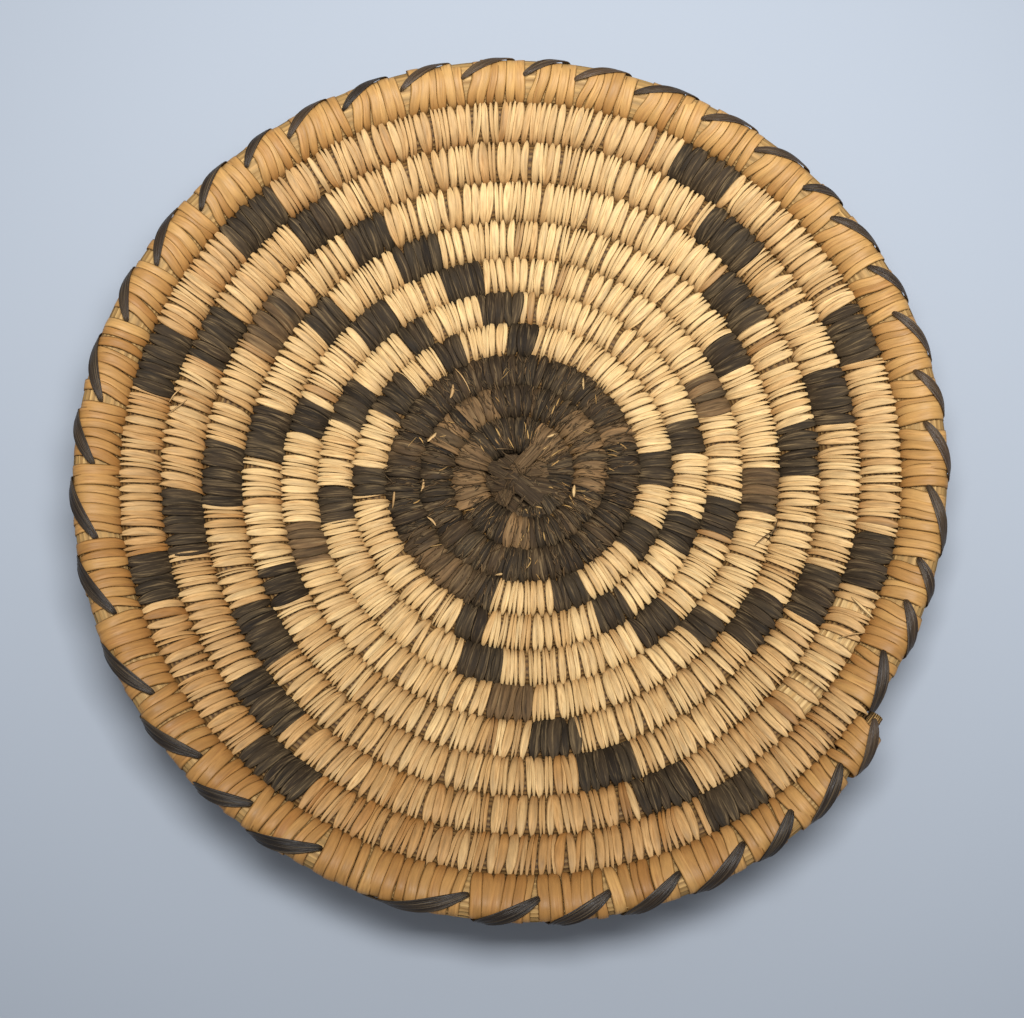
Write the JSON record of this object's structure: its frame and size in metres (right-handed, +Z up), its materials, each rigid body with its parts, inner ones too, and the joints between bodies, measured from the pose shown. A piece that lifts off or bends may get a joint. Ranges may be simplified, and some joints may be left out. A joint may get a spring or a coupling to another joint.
{
  "type": "coiled basket",
  "caption": "Shallow round coiled basket tray: a spiral grass coil sewn with light and dark splints in a whirl pattern, with a whipped rim.",
  "frame": {"origin": "middle of the plaited start's underside, on the surface that the basket rests on", "axes": "+Z up out of the bowl. Seen from above, azimuth counts counter-clockwise from +X, and the coil grows outwards that way. -Y is the side nearest the viewer in the picture, and the coil's end is at azimuth 322 degrees"},
  "size_m": [0.204, 0.2078, 0.0325],
  "materials": {
    "light_yucca": "split leaf, satin, pale tan",
    "rim_yucca": "split leaf, semi-gloss, orange tan",
    "dark_devils_claw": "split seed-pod fibre, matte, charcoal",
    "black_devils_claw": "split seed-pod fibre, semi-gloss, black brown",
    "bear_grass": "dry grass, matte, grey tan"
  },
  "bodies": {
    "root": {"start_splint_1": "dark_devils_claw", "start_splint_2": "dark_devils_claw", "start_splint_3": "dark_devils_claw", "start_splint_4": "dark_devils_claw", "start_splint_5": "dark_devils_claw", "start_splint_6": "dark_devils_claw", "foundation_coil": "bear_grass", "centre_turn_1": "dark_devils_claw", "centre_turn_2": "dark_devils_claw", "centre_turn_3": "dark_devils_claw", "light_field_1": "light_yucca", "light_field_2": "light_yucca", "light_field_3": "light_yucca", "light_field_4": "light_yucca", "light_field_5": "light_yucca", "light_field_6": "light_yucca", "light_field_7": "light_yucca", "light_field_8": "light_yucca", "whirl_arm_1": "dark_devils_claw", "whirl_arm_2": "dark_devils_claw", "whirl_arm_3": "dark_devils_claw", "whirl_arm_4": "dark_devils_claw", "whirl_arm_5": "dark_devils_claw", "whirl_arm_6": "dark_devils_claw", "whirl_arm_7": "dark_devils_claw", "whirl_arm_8": "dark_devils_claw", "rim_stitching": "rim_yucca", "rim_overcast": "black_devils_claw"}
  },
  "joints": []
}
